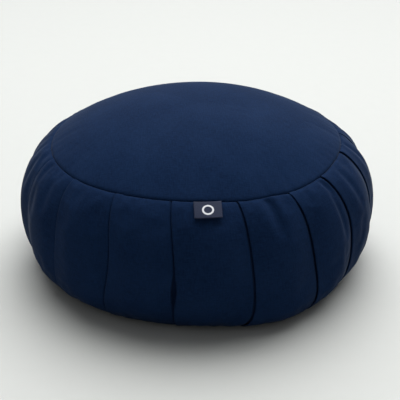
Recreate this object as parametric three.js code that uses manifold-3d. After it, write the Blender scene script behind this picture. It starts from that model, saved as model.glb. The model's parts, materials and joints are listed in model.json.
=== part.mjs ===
// Round pleated floor cushion (zafu), millimetres, +Z up.
// Origin: centre of the underside. The woven label hangs at the front (-Y), the zip lies at the back (+Y).
// Every cloth layer follows one meridian: the outline of a slice, from the crown to the underside's centre.

import * as THREE from 'three';
import Module from 'manifold-3d';
import { mergeVertices } from 'three/addons/utils/BufferGeometryUtils.js';

const solids = await Module();
solids.setup();

// ---- overall form -------------------------------------------------------------------------------
const TOP_SEAM_RADIUS = 142;
const TOP_SEAM_HEIGHT = 122;
const CROWN_RISE = 37;
const SIDE_BULGE = 30.5;
const EQUATOR_HEIGHT = 55;
const BOTTOM_SEAM_RADIUS = 160;
const BOTTOM_SEAM_HEIGHT = 13;
const REST_INSET = 13;

// ---- slopes and handles of the meridian's curves -------------------------------------------------
const SEAM_SLOPE = THREE.MathUtils.degToRad(33);
const DOME_CROWN_HANDLE = 60;
const DOME_SEAM_HANDLE = 45;
const SHOULDER_HANDLE = 16;
const BULGE_UPPER_HANDLE = 32;
const BULGE_LOWER_HANDLE = 16;
const TUCK_HANDLE = 12;
const RIM_HANDLE = 7;
const RIM_DROP_SHARE = 2 / 3;

// ---- cloth ---------------------------------------------------------------------------------------
const COVER_CLOTH = 1.4;
const BAG_CLOTH = 0.8;
const SEWN_GAP = 0.3;
const THREAD_RADIUS = 0.5;
const SIDE_THREAD_END = 2;
const PLEAT_COUNT = 17;
const PLEAT_PHASE = 0.425;
const PLEAT_RELIEF = 2.5;
const PLEAT_FADE_TOP = 35;
const PLEAT_FADE_BOTTOM = 25;

// ---- zip -----------------------------------------------------------------------------------------
const ZIP_HALF_ANGLE = 48;
const ZIP_PARTING = 1.8;
const ZIP_LAND = 6.5;
const COIL_WIDTH = 2.5;
const COIL_PROUD = 0.6;
const TAPE_WIDTH = 13;
const TAPE_THICKNESS = 0.6;
const ZIP_OPENING_MARGIN = 0.6;
const ZIP_OPENING_END = 0.4;
const STOP_ANGLE = 0.8;
const STOP_GAP = 0.15;
const STOP_PROUD = 0.2;
const TOPSTITCH_WIDTH = 0.8;
const TOPSTITCH_HEIGHT = 0.5;
const TOPSTITCH_INSET = 1.4;
const SEAM_THREAD_END = 1;

// ---- zip slider and pull tab ---------------------------------------------------------------------
const SLIDER_ANGLE = 5.2;
const SLIDER_REST_ANGLE = 44;
const SLIDER_CLEARANCE = 0.3;
const SLIDER_PLATE = 1.2;
const SLIDER_HALF_WIDTH = 4.6;
const SLIDER_POST_WIDTH = 1.1;
const SLIDER_POST_ANGLE = 1.2;
const PIN_RADIUS = 0.6;
const PIN_CLEARANCE = 0.35;
const KNUCKLE_WALL = 0.85;
const KNUCKLE_HALF_HEIGHT = 2.1;
const LUG_THICKNESS = 1.2;
const TAB_LENGTH = 22;
const TAB_THICKNESS = 1.2;
const TAB_HALF_WIDTH = 3;
const TAB_NECK = 3;
const TAB_EYE_RADIUS = 1.4;
const TAB_EYE_INSET = 4;

// ---- labels --------------------------------------------------------------------------------------
const LABEL_WIDTH = 25;
const LABEL_LENGTH = 18;
const LABEL_LEAF = 0.5;
const LABEL_FOLD_GAP = 0.4;
const LABEL_ROOT_GAP = 1.6;
const LABEL_ANGLE = 3.5;
const LABEL_SLOPE = THREE.MathUtils.degToRad(25);
const CARE_LABEL_LENGTH = 22;
const CARE_LABEL_ANGLE = 10;
const CARE_LABEL_MARGIN = 7;
const CARE_LABEL_THICKNESS = 0.4;
const CARE_LABEL_SEAM_GAP = 1;

// ---- inner bag -----------------------------------------------------------------------------------
const BAG_SLACK = 0.3;

// ---- facets --------------------------------------------------------------------------------------
const COVER_SEGMENTS = 68;
const BAG_SEGMENTS = 36;
const CURVE_STEPS = 6;
const THREAD_SIDES = 4;
const PIN_SIDES = 12;
const KNUCKLE_SIDES = 20;
const TAB_END_STEPS = 8;
const WEDGE_STEP = 15;
const STATION_SPACING = 0.5;
const WELD_DISTANCE = 1e-4;
const TINY = 1e-6;
const FAR = 400;

// ---- depths below the outer surface, worked out from the values above ---------------------------
const TAPE_DEPTH = COVER_CLOTH + SEWN_GAP;
const SLIDER_BACK_DEPTH = TAPE_DEPTH + TAPE_THICKNESS + SLIDER_CLEARANCE;
const BAG_DEPTH = SLIDER_BACK_DEPTH + SLIDER_PLATE + BAG_SLACK;
const BAG_THREAD_DEPTH = BAG_DEPTH + BAG_CLOTH + SEWN_GAP + THREAD_RADIUS;
const FILLING_DEPTH = BAG_THREAD_DEPTH + THREAD_RADIUS + SEWN_GAP;
const THREAD_DEPTH = COVER_CLOTH + SEWN_GAP + THREAD_RADIUS;
const SIDE_THREAD_DEPTH = (COVER_CLOTH + BAG_DEPTH) / 2;
const PIN_OFFSET = COIL_PROUD + SLIDER_CLEARANCE + SLIDER_PLATE + SLIDER_CLEARANCE
  + PIN_RADIUS + PIN_CLEARANCE + KNUCKLE_WALL;

// ---- meridian ------------------------------------------------------------------------------------

function point(radius, height) {
  return new THREE.Vector2(radius, height);
}

function buildMeridian() {
  const crown = point(0, TOP_SEAM_HEIGHT + CROWN_RISE);
  const topSeam = point(TOP_SEAM_RADIUS, TOP_SEAM_HEIGHT);
  const equator = point(TOP_SEAM_RADIUS + SIDE_BULGE, EQUATOR_HEIGHT);
  const landTop = point(BOTTOM_SEAM_RADIUS, BOTTOM_SEAM_HEIGHT + ZIP_LAND);
  const bottomSeam = point(BOTTOM_SEAM_RADIUS, BOTTOM_SEAM_HEIGHT);
  const landFoot = point(BOTTOM_SEAM_RADIUS, BOTTOM_SEAM_HEIGHT - ZIP_LAND);
  const restEdge = point(BOTTOM_SEAM_RADIUS - REST_INSET, 0);
  const down = point(Math.cos(SEAM_SLOPE), -Math.sin(SEAM_SLOPE));
  return [
    {
      name: 'dome',
      curve: new THREE.CubicBezierCurve(crown, point(DOME_CROWN_HANDLE, crown.y),
        topSeam.clone().addScaledVector(down, -DOME_SEAM_HANDLE), topSeam),
    },
    {
      name: 'shoulder',
      curve: new THREE.CubicBezierCurve(topSeam, topSeam.clone().addScaledVector(down, SHOULDER_HANDLE),
        point(equator.x, equator.y + BULGE_UPPER_HANDLE), equator),
    },
    {
      name: 'bulge',
      curve: new THREE.CubicBezierCurve(equator, point(equator.x, equator.y - BULGE_LOWER_HANDLE),
        point(landTop.x, landTop.y + TUCK_HANDLE), landTop),
    },
    { name: 'upperLand', curve: new THREE.LineCurve(landTop, bottomSeam) },
    { name: 'lowerLand', curve: new THREE.LineCurve(bottomSeam, landFoot) },
    {
      name: 'rim',
      curve: new THREE.CubicBezierCurve(landFoot, point(landFoot.x, landFoot.y * (1 - RIM_DROP_SHARE)),
        point(restEdge.x + RIM_HANDLE, 0), restEdge),
    },
    { name: 'rest', curve: new THREE.LineCurve(restEdge, point(0, 0)) },
  ];
}

const meridian = buildMeridian();
const stations = {};
let meridianLength = 0;
for (const stretch of meridian) {
  stretch.start = meridianLength;
  stretch.length = stretch.curve.getLength();
  meridianLength += stretch.length;
  stations[stretch.name] = stretch.start;
}
const TOP_SEAM = stations.shoulder;
const BOTTOM_SEAM = stations.lowerLand;

// A point of the meridian at a distance from the crown, moved inwards by depth (outwards if negative).
function meridianPoint(distance, depth) {
  const stretch = meridian.findLast((s) => distance >= s.start - TINY);
  const share = Math.min(1, Math.max(0, (distance - stretch.start) / stretch.length));
  const place = stretch.curve.getPointAt(share);
  const along = stretch.curve.getTangentAt(share);
  const radius = place.x + along.y * depth;
  return point(Math.abs(radius) < TINY ? 0 : radius, place.y - along.x * depth);
}

// Distances from one end of a layer to the other, with the steps of every curve between them.
function layerDistances(from, to) {
  const distances = [from];
  for (const stretch of meridian) {
    const steps = stretch.curve.isLineCurve ? 1 : CURVE_STEPS;
    for (let step = 0; step < steps; step += 1) {
      const distance = stretch.start + stretch.length * step / steps;
      if (distance > from + STATION_SPACING && distance < to - STATION_SPACING) {
        distances.push(distance);
      }
    }
  }
  distances.push(to);
  return distances;
}

// ---- solids --------------------------------------------------------------------------------------

function welded(geometry) {
  geometry.deleteAttribute('normal');
  geometry.deleteAttribute('uv');
  const merged = mergeVertices(geometry, WELD_DISTANCE);
  const position = merged.attributes.position;
  const kept = [];
  const a = new THREE.Vector3();
  const b = new THREE.Vector3();
  const c = new THREE.Vector3();
  let volume = 0;
  for (let i = 0; i < merged.index.count; i += 3) {
    const corners = [merged.index.getX(i), merged.index.getX(i + 1), merged.index.getX(i + 2)];
    if (new Set(corners).size === 3) {
      kept.push(...corners);
      a.fromBufferAttribute(position, corners[0]);
      b.fromBufferAttribute(position, corners[1]);
      c.fromBufferAttribute(position, corners[2]);
      volume += a.dot(b.cross(c));
    }
  }
  if (volume < 0) {
    kept.reverse();
  }
  merged.setIndex(kept);
  return merged;
}

function toSolid(geometry) {
  const closed = welded(geometry);
  return new solids.Manifold(new solids.Mesh({
    numProp: 3,
    vertProperties: new Float32Array(closed.attributes.position.array),
    triVerts: new Uint32Array(closed.index.array),
  }));
}

function toGeometry(solid) {
  const mesh = solid.getMesh();
  const geometry = new THREE.BufferGeometry();
  geometry.setAttribute('position', new THREE.BufferAttribute(mesh.vertProperties, 3));
  geometry.setIndex(new THREE.BufferAttribute(mesh.triVerts, 1));
  return geometry;
}

// A profile turned about the Z axis. Angle 0 is the front, and angles grow towards +X.
function turned(profile, segments) {
  const geometry = new THREE.LatheGeometry(profile, segments);
  geometry.rotateX(Math.PI / 2);
  return geometry;
}

// Outline of a layer between two depths: down its outer side, and back up its inner side.
function layerProfile(from, to, outerDepth, innerDepth) {
  const distances = layerDistances(from, to);
  const outer = distances.map((distance) => meridianPoint(distance, outerDepth));
  const inner = distances.map((distance) => meridianPoint(distance, innerDepth)).reverse();
  if (from === 0) {
    return [...outer, ...inner];
  }
  if (to === meridianLength) {
    return [...inner, ...outer];
  }
  return [...outer, ...inner, outer[0].clone()];
}

function layer(from, to, outerDepth, innerDepth) {
  return turned(layerProfile(from, to, outerDepth, innerDepth), COVER_SEGMENTS);
}

// A pie slice between two angles, counted from the back (+Y) towards +X, in degrees.
function wedge(fromDegrees, toDegrees) {
  const outline = new THREE.Shape();
  outline.moveTo(0, 0);
  const turns = Math.ceil((toDegrees - fromDegrees) / WEDGE_STEP);
  for (let turn = 0; turn <= turns; turn += 1) {
    const angle = THREE.MathUtils.degToRad(fromDegrees + (toDegrees - fromDegrees) * turn / turns);
    outline.lineTo(FAR * Math.sin(angle), FAR * Math.cos(angle));
  }
  const slice = new THREE.ExtrudeGeometry(outline, { depth: 2 * FAR, bevelEnabled: false });
  slice.translate(0, 0, -FAR);
  return toSolid(slice);
}

// Part of a layer near the bottom seam, between two angles. Distances are counted up from the seam.
function zipStrip(low, high, outerDepth, innerDepth, fromDegrees, toDegrees) {
  const ring = toSolid(layer(BOTTOM_SEAM - high, BOTTOM_SEAM - low, outerDepth, innerDepth));
  return ring.intersect(wedge(fromDegrees, toDegrees));
}

const ZIP_EDGE = ZIP_PARTING / 2 + COIL_WIDTH + ZIP_OPENING_MARGIN;

// The opening that the zip's coils show through.
function zipOpening() {
  const end = ZIP_HALF_ANGLE + STOP_ANGLE + ZIP_OPENING_END;
  return zipStrip(-ZIP_EDGE, ZIP_EDGE, -PLEAT_RELIEF, COVER_CLOTH + SEWN_GAP / 2, -end, end);
}

function uprightCylinder(radius, height, sides) {
  const cylinder = new THREE.CylinderGeometry(radius, radius, height, sides);
  cylinder.rotateX(Math.PI / 2);
  return cylinder;
}

function threadRing(distance, depth, segments) {
  const place = meridianPoint(distance, depth);
  const ring = new THREE.TorusGeometry(place.x, THREAD_RADIUS, THREAD_SIDES, segments);
  ring.translate(0, 0, place.y);
  return ring;
}

// ---- cover ---------------------------------------------------------------------------------------

function buildTopPanel() {
  return layer(0, TOP_SEAM - SEWN_GAP / 2, 0, COVER_CLOTH);
}

function buildBottomPanel() {
  const panel = toSolid(layer(BOTTOM_SEAM + SEWN_GAP / 2, meridianLength, 0, COVER_CLOTH));
  return toGeometry(panel.subtract(zipOpening()));
}

// Height of a knife pleat's fold above the band: highest at its lapped edge, then falling to the next.
function pleatRelief(angle, distance) {
  const pitch = 2 * Math.PI / PLEAT_COUNT;
  const share = THREE.MathUtils.euclideanModulo(angle / pitch + PLEAT_PHASE, 1);
  const belowTop = THREE.MathUtils.smoothstep(distance - TOP_SEAM, 0, PLEAT_FADE_TOP);
  const aboveLand = THREE.MathUtils.smoothstep(stations.upperLand - distance, 0, PLEAT_FADE_BOTTOM);
  return PLEAT_RELIEF * (1 - share) * belowTop * aboveLand;
}

function buildSideBand() {
  const from = TOP_SEAM + SEWN_GAP / 2;
  const to = BOTTOM_SEAM - SEWN_GAP / 2;
  const distances = layerDistances(from, to);
  const profile = layerProfile(from, to, 0, COVER_CLOTH);
  const band = new THREE.LatheGeometry(profile, COVER_SEGMENTS);
  const position = band.attributes.position;
  for (let i = 0; i < position.count; i += 1) {
    const row = i % profile.length;
    const fold = row === profile.length - 1 ? 0 : row;
    if (fold < distances.length) {
      const x = position.getX(i);
      const z = position.getZ(i);
      const radius = Math.hypot(x, z);
      const scale = 1 + pleatRelief(Math.atan2(x, z), distances[fold]) / radius;
      position.setX(i, x * scale);
      position.setZ(i, z * scale);
    }
  }
  band.rotateX(Math.PI / 2);
  return toSolid(band);
}

// Half of the band: the strips are joined at the left and right sides. side is -1 at the front.
function buildBandStrip(band, side) {
  const half = new THREE.BoxGeometry(2 * FAR, FAR, 2 * FAR);
  half.translate(0, side * (FAR + SEWN_GAP) / 2, 0);
  const strip = band.intersect(toSolid(half));
  return toGeometry(side > 0 ? strip.subtract(zipOpening()) : strip);
}

// Sewing thread down the inside of the band where its two strips are joined. side is 1 at the right.
function buildSideSeamThread(side) {
  const margin = COVER_CLOTH + SIDE_THREAD_END;
  const ring = toSolid(layer(TOP_SEAM + margin, BOTTOM_SEAM - margin,
    SIDE_THREAD_DEPTH - THREAD_RADIUS, SIDE_THREAD_DEPTH + THREAD_RADIUS));
  const slice = new THREE.BoxGeometry(FAR, 2 * THREAD_RADIUS, 2 * FAR);
  slice.translate(side * FAR / 2, 0, 0);
  return toGeometry(ring.intersect(toSolid(slice)));
}

// The bottom seam's thread runs everywhere but along the zip.
function buildBottomSeamThread() {
  const ring = toSolid(threadRing(BOTTOM_SEAM, THREAD_DEPTH, COVER_SEGMENTS));
  const end = ZIP_HALF_ANGLE + STOP_ANGLE + SEAM_THREAD_END;
  return toGeometry(ring.intersect(wedge(end, 360 - end)));
}

// ---- zip -----------------------------------------------------------------------------------------

// One half of the zip. side is 1 above the seam and -1 below it.
function zipHalf(side, near, far, outerDepth, innerDepth, fromDegrees, toDegrees) {
  const low = side > 0 ? near : -far;
  const high = side > 0 ? far : -near;
  return toGeometry(zipStrip(low, high, outerDepth, innerDepth, fromDegrees, toDegrees));
}

function buildZipTape(side) {
  const near = ZIP_PARTING / 2;
  const end = ZIP_HALF_ANGLE + STOP_ANGLE;
  return zipHalf(side, near, near + TAPE_WIDTH, TAPE_DEPTH, TAPE_DEPTH + TAPE_THICKNESS, -end, end);
}

function buildZipCoil(side) {
  const near = ZIP_PARTING / 2;
  return zipHalf(side, near, near + COIL_WIDTH, -COIL_PROUD, COVER_CLOTH, -ZIP_HALF_ANGLE, ZIP_HALF_ANGLE);
}

function buildZipTopStop(side) {
  const near = ZIP_PARTING / 2;
  const start = ZIP_HALF_ANGLE + STOP_GAP;
  const face = COIL_PROUD + STOP_PROUD;
  return zipHalf(side, near, near + COIL_WIDTH, -face, COVER_CLOTH, start, start + STOP_ANGLE);
}

function buildZipBottomStop() {
  const reach = ZIP_PARTING / 2 + COIL_WIDTH;
  const start = -ZIP_HALF_ANGLE - STOP_GAP;
  const face = COIL_PROUD + STOP_PROUD;
  return toGeometry(zipStrip(-reach, reach, -face, COVER_CLOTH, start - STOP_ANGLE, start));
}

function buildZipTopstitch(side) {
  const near = ZIP_EDGE + TOPSTITCH_INSET;
  const end = ZIP_HALF_ANGLE + STOP_ANGLE;
  return zipHalf(side, near, near + TOPSTITCH_WIDTH, -SEWN_GAP - TOPSTITCH_HEIGHT, -SEWN_GAP, -end, end);
}

// The slider is built at the middle of the back, where its outer plate faces +Y.
function buildZipSlider() {
  const half = SLIDER_ANGLE / 2;
  const post = SLIDER_POST_ANGLE / 2;
  const face = COIL_PROUD + SLIDER_CLEARANCE;
  const back = SLIDER_BACK_DEPTH + SLIDER_PLATE;
  const width = SLIDER_HALF_WIDTH;
  const frontPlate = zipStrip(-width, width, -face - SLIDER_PLATE, -face, -half, half);
  const backPlate = zipStrip(-width, width, SLIDER_BACK_DEPTH, back, -half, half);
  const bridge = zipStrip(-SLIDER_POST_WIDTH / 2, SLIDER_POST_WIDTH / 2, -face - SLIDER_PLATE / 2,
    back - SLIDER_PLATE / 2, half - 2 * post, half);
  let slider = frontPlate.add(backPlate).add(bridge);
  const lugReach = PIN_OFFSET - face - SLIDER_PLATE / 2 + PIN_RADIUS + KNUCKLE_WALL / 2;
  for (const side of [-1, 1]) {
    const lug = new THREE.BoxGeometry(2 * (PIN_RADIUS + KNUCKLE_WALL), lugReach, LUG_THICKNESS);
    lug.translate(0, BOTTOM_SEAM_RADIUS + face + SLIDER_PLATE / 2 + lugReach / 2,
      BOTTOM_SEAM_HEIGHT + side * (KNUCKLE_HALF_HEIGHT + SLIDER_CLEARANCE + LUG_THICKNESS / 2));
    slider = slider.add(toSolid(lug));
  }
  const pinLength = 2 * (KNUCKLE_HALF_HEIGHT + SLIDER_CLEARANCE) + LUG_THICKNESS;
  const pin = uprightCylinder(PIN_RADIUS, pinLength, PIN_SIDES);
  pin.translate(0, BOTTOM_SEAM_RADIUS + PIN_OFFSET, BOTTOM_SEAM_HEIGHT);
  return toGeometry(slider.add(toSolid(pin)));
}

// The pull tab turns on the slider's pin. At rest its blade lies along the zip, over the closed coils.
function buildZipPullTab() {
  const knuckleRadius = PIN_RADIUS + PIN_CLEARANCE + KNUCKLE_WALL;
  const neck = knuckleRadius + TAB_NECK;
  const shoulder = neck + TAB_NECK;
  const end = TAB_LENGTH - TAB_HALF_WIDTH;
  const outline = new THREE.Shape();
  outline.moveTo(0, -KNUCKLE_HALF_HEIGHT);
  outline.lineTo(-neck, -KNUCKLE_HALF_HEIGHT);
  outline.lineTo(-shoulder, -TAB_HALF_WIDTH);
  outline.lineTo(-end, -TAB_HALF_WIDTH);
  outline.absarc(-end, 0, TAB_HALF_WIDTH, -Math.PI / 2, Math.PI / 2, true);
  outline.lineTo(-shoulder, TAB_HALF_WIDTH);
  outline.lineTo(-neck, KNUCKLE_HALF_HEIGHT);
  outline.lineTo(0, KNUCKLE_HALF_HEIGHT);
  outline.closePath();
  const eye = new THREE.Path();
  eye.absarc(TAB_EYE_INSET - TAB_LENGTH, 0, TAB_EYE_RADIUS, 0, 2 * Math.PI);
  outline.holes.push(eye);
  const blade = new THREE.ExtrudeGeometry(outline,
    { depth: TAB_THICKNESS, bevelEnabled: false, curveSegments: TAB_END_STEPS });
  blade.rotateX(Math.PI / 2);
  blade.translate(0, TAB_THICKNESS / 2, 0);
  const knuckle = uprightCylinder(knuckleRadius, 2 * KNUCKLE_HALF_HEIGHT, KNUCKLE_SIDES);
  const bore = uprightCylinder(PIN_RADIUS + PIN_CLEARANCE, 4 * KNUCKLE_HALF_HEIGHT, KNUCKLE_SIDES);
  return toGeometry(toSolid(blade).add(toSolid(knuckle)).subtract(toSolid(bore)));
}

// ---- labels --------------------------------------------------------------------------------------

// A folded woven loop: two leaves joined by the fold at the hanging end. It bends at the origin.
function buildWovenLabel() {
  const thickness = 2 * LABEL_LEAF + LABEL_FOLD_GAP;
  const root = LABEL_ROOT_GAP;
  const fold = LABEL_LENGTH - LABEL_LEAF;
  const outline = new THREE.Shape();
  outline.moveTo(root, 0);
  outline.lineTo(LABEL_LENGTH, 0);
  outline.lineTo(LABEL_LENGTH, thickness);
  outline.lineTo(root, thickness);
  outline.lineTo(root, thickness - LABEL_LEAF);
  outline.lineTo(fold, thickness - LABEL_LEAF);
  outline.lineTo(fold, LABEL_LEAF);
  outline.lineTo(root, LABEL_LEAF);
  outline.closePath();
  const loop = new THREE.ExtrudeGeometry(outline, { depth: LABEL_WIDTH, bevelEnabled: false });
  loop.translate(0, 0, -LABEL_WIDTH / 2);
  loop.rotateX(Math.PI / 2);
  loop.rotateZ(-Math.PI / 2);
  return welded(loop);
}

// A blank sewn-in tag inside the cover, beside the end of the zip.
function buildCareLabel() {
  const start = ZIP_HALF_ANGLE + STOP_ANGLE + CARE_LABEL_MARGIN;
  const tag = zipStrip(ZIP_PARTING / 2 + CARE_LABEL_SEAM_GAP, CARE_LABEL_LENGTH, TAPE_DEPTH,
    TAPE_DEPTH + CARE_LABEL_THICKNESS, start, start + CARE_LABEL_ANGLE);
  return toGeometry(tag);
}

// ---- inner bag and filling -----------------------------------------------------------------------

function bagLayer(from, to) {
  return turned(layerProfile(from, to, BAG_DEPTH, BAG_DEPTH + BAG_CLOTH), BAG_SEGMENTS);
}

function buildBagTop() {
  return bagLayer(0, TOP_SEAM - SEWN_GAP / 2);
}

function buildBagSide() {
  return bagLayer(TOP_SEAM + SEWN_GAP / 2, BOTTOM_SEAM - SEWN_GAP / 2);
}

function buildBagBottom() {
  return bagLayer(BOTTOM_SEAM + SEWN_GAP / 2, meridianLength);
}

function buildFilling() {
  const distances = layerDistances(0, meridianLength);
  return turned(distances.map((distance) => meridianPoint(distance, FILLING_DEPTH)), BAG_SEGMENTS);
}

function bagThread(distance) {
  return threadRing(distance, BAG_THREAD_DEPTH, BAG_SEGMENTS);
}

// ---- assembly ------------------------------------------------------------------------------------

const FINISHES = {
  navyCotton: { color: 0x14233f, roughness: 0.95, metalness: 0 },
  navyThread: { color: 0x1b2c4c, roughness: 0.8, metalness: 0 },
  wovenLabel: { color: 0x24283c, roughness: 0.75, metalness: 0 },
  whiteTape: { color: 0xe9e7e0, roughness: 0.85, metalness: 0 },
  ticking: { color: 0xd9d0bc, roughness: 0.95, metalness: 0 },
  hulls: { color: 0x4a3426, roughness: 0.9, metalness: 0 },
  zipTape: { color: 0x101b31, roughness: 0.85, metalness: 0 },
  nylonCoil: { color: 0x0f1830, roughness: 0.45, metalness: 0 },
  zipMetal: { color: 0x6d7078, roughness: 0.35, metalness: 0.9 },
};

function piece(name, geometry, finish) {
  const mesh = new THREE.Mesh(welded(geometry), new THREE.MeshStandardMaterial(FINISHES[finish]));
  mesh.name = name;
  return mesh;
}

function buildCover() {
  const cover = new THREE.Group();
  const band = buildSideBand();
  cover.add(piece('top_panel', buildTopPanel(), 'navyCotton'));
  cover.add(piece('side_band_front', buildBandStrip(band, -1), 'navyCotton'));
  cover.add(piece('side_band_back', buildBandStrip(band, 1), 'navyCotton'));
  cover.add(piece('bottom_panel', buildBottomPanel(), 'navyCotton'));
  cover.add(piece('top_seam_thread', threadRing(TOP_SEAM, THREAD_DEPTH, COVER_SEGMENTS), 'navyThread'));
  cover.add(piece('bottom_seam_thread', buildBottomSeamThread(), 'navyThread'));
  cover.add(piece('side_seam_thread_left', buildSideSeamThread(-1), 'navyThread'));
  cover.add(piece('side_seam_thread_right', buildSideSeamThread(1), 'navyThread'));
  cover.add(piece('care_label', buildCareLabel(), 'whiteTape'));
  return cover;
}

function buildZip() {
  const zip = new THREE.Group();
  for (const [end, side] of [['upper', 1], ['lower', -1]]) {
    zip.add(piece(`zip_tape_${end}`, buildZipTape(side), 'zipTape'));
    zip.add(piece(`zip_coil_${end}`, buildZipCoil(side), 'nylonCoil'));
    zip.add(piece(`zip_top_stop_${end}`, buildZipTopStop(side), 'zipMetal'));
    zip.add(piece(`zip_thread_${end}`, buildZipTopstitch(side), 'navyThread'));
  }
  zip.add(piece('zip_bottom_stop', buildZipBottomStop(), 'zipMetal'));
  const travelling = new THREE.Group();
  const tab = piece('zip_pull_tab', buildZipPullTab(), 'zipMetal');
  tab.position.set(0, BOTTOM_SEAM_RADIUS + PIN_OFFSET, BOTTOM_SEAM_HEIGHT);
  travelling.add(piece('zip_slider', buildZipSlider(), 'zipMetal'));
  travelling.add(tab);
  travelling.rotation.z = -THREE.MathUtils.degToRad(SLIDER_REST_ANGLE);
  zip.add(travelling);
  return zip;
}

function buildInnerBag() {
  const bag = new THREE.Group();
  bag.add(piece('inner_bag_top', buildBagTop(), 'ticking'));
  bag.add(piece('inner_bag_side', buildBagSide(), 'ticking'));
  bag.add(piece('inner_bag_bottom', buildBagBottom(), 'ticking'));
  bag.add(piece('inner_top_seam_thread', bagThread(TOP_SEAM), 'whiteTape'));
  bag.add(piece('inner_bottom_seam_thread', bagThread(BOTTOM_SEAM), 'whiteTape'));
  bag.add(piece('hull_filling', buildFilling(), 'hulls'));
  return bag;
}

function buildLabelOnSeam() {
  const holder = new THREE.Group();
  const label = piece('woven_label', buildWovenLabel(), 'wovenLabel');
  const root = meridianPoint(TOP_SEAM, -SEWN_GAP);
  label.position.set(0, -root.x, root.y);
  label.rotation.x = LABEL_SLOPE;
  holder.add(label);
  holder.rotation.z = THREE.MathUtils.degToRad(LABEL_ANGLE);
  return holder;
}

const cushion = new THREE.Group();
cushion.add(buildCover());
cushion.add(buildLabelOnSeam());
cushion.add(buildZip());
cushion.add(buildInnerBag());

export default cushion;
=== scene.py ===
# Round pleated floor cushion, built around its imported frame. Metres, +Z up, front at -Y.
import json
import math

import bpy
import numpy as np
from mathutils import Matrix, Vector


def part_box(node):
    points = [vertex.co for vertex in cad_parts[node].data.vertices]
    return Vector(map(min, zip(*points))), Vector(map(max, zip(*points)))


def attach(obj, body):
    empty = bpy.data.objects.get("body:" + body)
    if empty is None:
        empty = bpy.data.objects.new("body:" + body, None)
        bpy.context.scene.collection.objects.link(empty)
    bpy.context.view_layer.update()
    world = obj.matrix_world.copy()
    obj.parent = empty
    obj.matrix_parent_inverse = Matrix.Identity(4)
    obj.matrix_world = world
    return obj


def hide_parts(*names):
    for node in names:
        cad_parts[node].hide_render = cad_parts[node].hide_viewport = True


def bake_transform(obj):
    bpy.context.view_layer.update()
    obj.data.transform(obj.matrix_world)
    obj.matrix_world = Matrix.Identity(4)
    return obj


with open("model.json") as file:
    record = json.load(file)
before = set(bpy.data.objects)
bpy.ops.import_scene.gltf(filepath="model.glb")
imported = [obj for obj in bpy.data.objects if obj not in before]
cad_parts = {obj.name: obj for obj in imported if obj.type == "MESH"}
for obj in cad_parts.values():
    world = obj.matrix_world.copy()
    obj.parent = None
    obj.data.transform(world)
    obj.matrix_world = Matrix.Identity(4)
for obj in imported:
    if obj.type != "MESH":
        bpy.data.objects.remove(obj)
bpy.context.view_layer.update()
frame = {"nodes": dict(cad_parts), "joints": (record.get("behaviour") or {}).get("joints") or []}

MM = 0.001


# ---- sizes, read from the frame where it gives them ---------------------------------------------------

def low(node):
    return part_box(node)[0]


def high(node):
    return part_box(node)[1]


CROWN_HEIGHT = high("top_panel").z
TOP_SEAM_RADIUS = high("top_seam_thread").x + 0.8 * MM
TOP_SEAM_HEIGHT = high("side_band_front").z
SEAM_SLOPE = math.radians(33)
EQUATOR_RADIUS = (high("side_band_front").x - low("side_band_front").x) / 2 - 2.2 * MM
EQUATOR_HEIGHT = 55 * MM
ZIP_SEAM_RADIUS = high("bottom_panel").x
ZIP_SEAM_HEIGHT = high("bottom_panel").z
ZIP_LAND = 6.5 * MM
ZIP_REST_RADIUS = ZIP_SEAM_RADIUS - 13 * MM
TUCKED_SEAM_RADIUS = 148 * MM
TUCKED_SEAM_HEIGHT = 1.2 * MM
TUCKED_REST_RADIUS = 138 * MM
COIL_PROUD = 0.6 * MM
ZIP_HALF_ANGLE = math.degrees(math.asin(high("zip_coil_upper").x / (ZIP_SEAM_RADIUS + COIL_PROUD)))
ZIP_OPENING = 4.0 * MM
CLOTH = 0.55 * MM
BAG_DEPTH = 7 * MM
FILLING_DEPTH = 8.8 * MM


# ---- small tools ------------------------------------------------------------------------------------

LINE_POINTS = 161


def bezier(points, count):
    t = np.linspace(0, 1, count)[:, None]
    p = np.array(points, float)
    return (1 - t) ** 3 * p[0] + 3 * (1 - t) ** 2 * t * p[1] + 3 * (1 - t) * t * t * p[2] + t ** 3 * p[3]


def smoothstep(x, start, end):
    t = np.clip((np.asarray(x, float) - start) / (end - start), 0, 1)
    return t * t * (3 - 2 * t)


def bell(x, centre, width):
    return np.exp(-((x - centre) / width) ** 2)


def turn_apart(angle, other):
    """Smallest signed difference of two angles in degrees."""
    return (angle - other + 180) % 360 - 180


def bell_at(angle, centre, width):
    return bell(turn_apart(angle, centre), 0, width)


def evenly(points):
    """The same line with evenly spaced points, and its length."""
    steps = np.hypot(*np.diff(points, axis=0).T)
    travelled = np.concatenate([[0], np.cumsum(steps)])
    wanted = np.linspace(0, travelled[-1], LINE_POINTS)
    return np.stack([np.interp(wanted, travelled, points[:, k]) for k in range(2)], 1), travelled[-1]


def outward(line):
    """Unit normals of a meridian that runs from the crown down its outer side."""
    way = np.gradient(line, axis=0)
    way /= np.linalg.norm(way, axis=1)[:, None]
    return np.stack([-way[:, 1], way[:, 0]], 1)


# ---- the stuffed form ---------------------------------------------------------------------------------
# Three meridians: dome, side and base. The side and base each have two: one at the zip, where the seam
# stands clear of the floor, and one for the rest of the way round, where the stuffing rolls the seam under.

DOWN = np.array([math.cos(SEAM_SLOPE), -math.sin(SEAM_SLOPE)])
TOP_SEAM = np.array([TOP_SEAM_RADIUS, TOP_SEAM_HEIGHT])
EQUATOR = np.array([EQUATOR_RADIUS, EQUATOR_HEIGHT])
ZIP_SEAM = np.array([ZIP_SEAM_RADIUS, ZIP_SEAM_HEIGHT])
TUCKED_SEAM = np.array([TUCKED_SEAM_RADIUS, TUCKED_SEAM_HEIGHT])


def mm(r, z):
    return np.array([r, z]) * MM


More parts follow.
